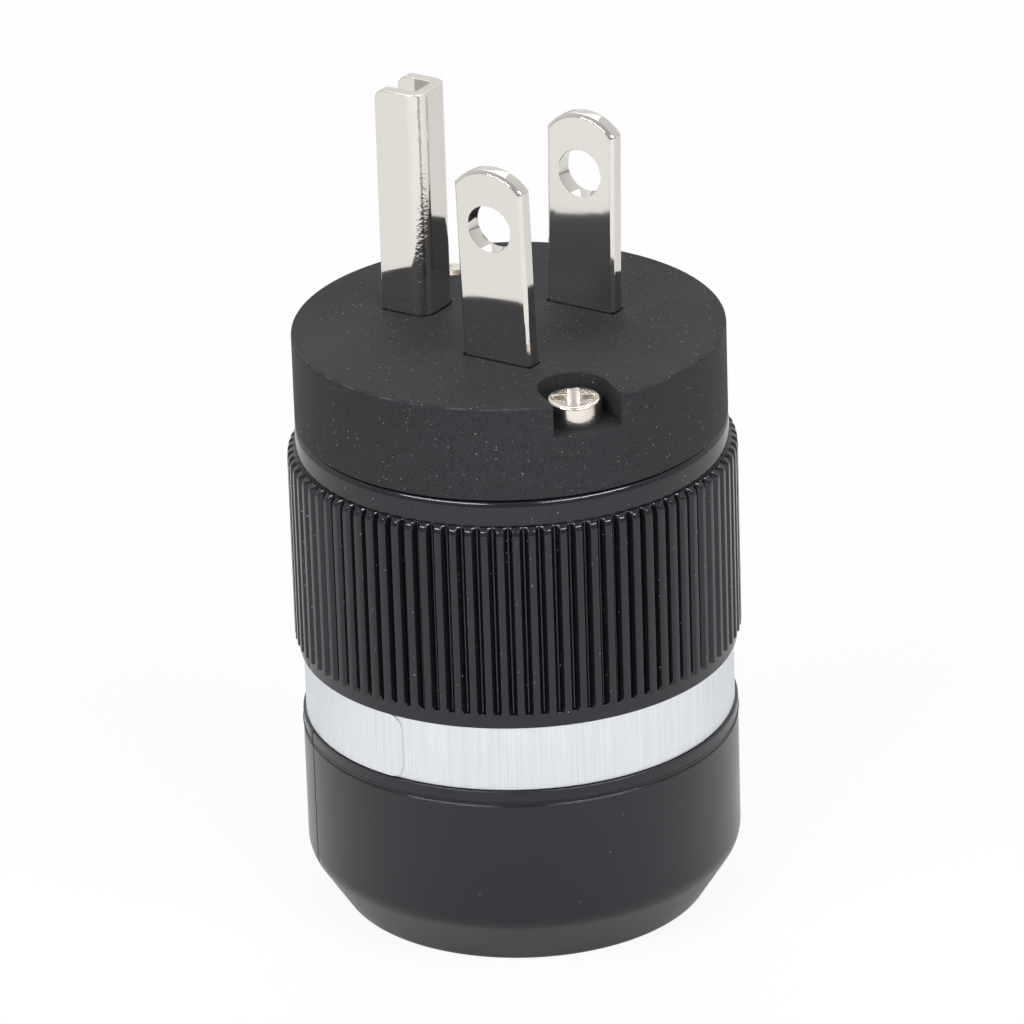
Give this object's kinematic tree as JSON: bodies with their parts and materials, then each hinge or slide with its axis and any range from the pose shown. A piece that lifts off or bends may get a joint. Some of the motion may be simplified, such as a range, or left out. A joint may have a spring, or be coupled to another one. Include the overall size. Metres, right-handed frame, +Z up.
{
  "type": "rewireable mains plug",
  "caption": "Rewireable mains plug: flat holed blades and a folded ground pin on a round face, a ribbed grip ring, and a split tapered rear shell with a foil label.",
  "frame": {"origin": "on the body's axis, in the foot plane where the cable end stands", "axes": "+Z up the body's axis to the prongs, +X from the neutral blade to the line blade, +Y from the blades to the ground pin"},
  "size_m": [0.0366, 0.0366, 0.0691],
  "materials": {
    "insert_plastic": "matte black moulded thermoset",
    "grip_plastic": "semi-gloss black moulded nylon",
    "shell_plastic": "satin black moulded nylon",
    "prong_nickel": "bright nickel plate on brass",
    "screw_nickel": "nickel-plated steel",
    "label_foil": "brushed silver foil",
    "terminal_brass": "plain brass",
    "zinc_steel": "zinc-plated steel"
  },
  "bodies": {
    "root": {"front_insert": "insert_plastic", "neutral_blade": "prong_nickel", "line_blade": "prong_nickel", "ground_pin": "prong_nickel", "neutral_clamp_plate": "terminal_brass", "line_clamp_plate": "terminal_brass", "ground_clamp_plate": "terminal_brass", "terminal_screws": "terminal_brass", "terminal_cover": "shell_plastic", "terminal_cover_screw": "zinc_steel", "grip_ring": "grip_plastic", "near_shell_half": "shell_plastic", "far_shell_half": "shell_plastic", "label_band": "label_foil", "assembly_screws": "screw_nickel", "shell_nuts": "zinc_steel", "near_cord_jaw": "shell_plastic", "far_cord_jaw": "shell_plastic", "cord_clamp_screws": "screw_nickel", "cord_clamp_nuts": "zinc_steel"}
  },
  "joints": []
}
